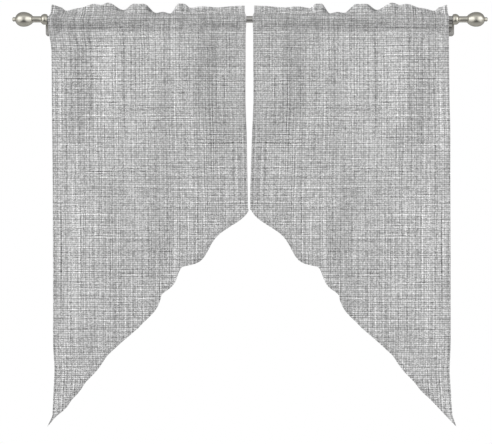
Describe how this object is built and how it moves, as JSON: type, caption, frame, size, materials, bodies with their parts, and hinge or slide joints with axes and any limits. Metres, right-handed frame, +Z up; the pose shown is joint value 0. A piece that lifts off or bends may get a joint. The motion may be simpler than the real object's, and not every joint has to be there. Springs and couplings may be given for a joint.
{
  "type": "pair of swag valances on a curtain rod",
  "caption": "Grey linen-look swag valances with ruffled rod-pocket headings and scalloped slanting edges, hung on a round metal rod with egg finials and wall brackets.",
  "frame": {"origin": "on the wall, at the height of the rod's axis, midway between the two brackets", "axes": "+X along the rod, to the right as seen from the room; +Y into the wall; +Z up"},
  "size_m": [1.2848, 0.0998, 1.1435],
  "materials": {
    "cloth": "matt, open slubbed linen weave in mixed greys",
    "nickel": "satin nickel with a slight warm tint"
  },
  "bodies": {
    "root": {"panel_left": "cloth", "panel_right": "cloth", "rod": "nickel", "finial_left": "nickel", "finial_right": "nickel", "bracket_left": "nickel", "bracket_right": "nickel"}
  },
  "joints": []
}
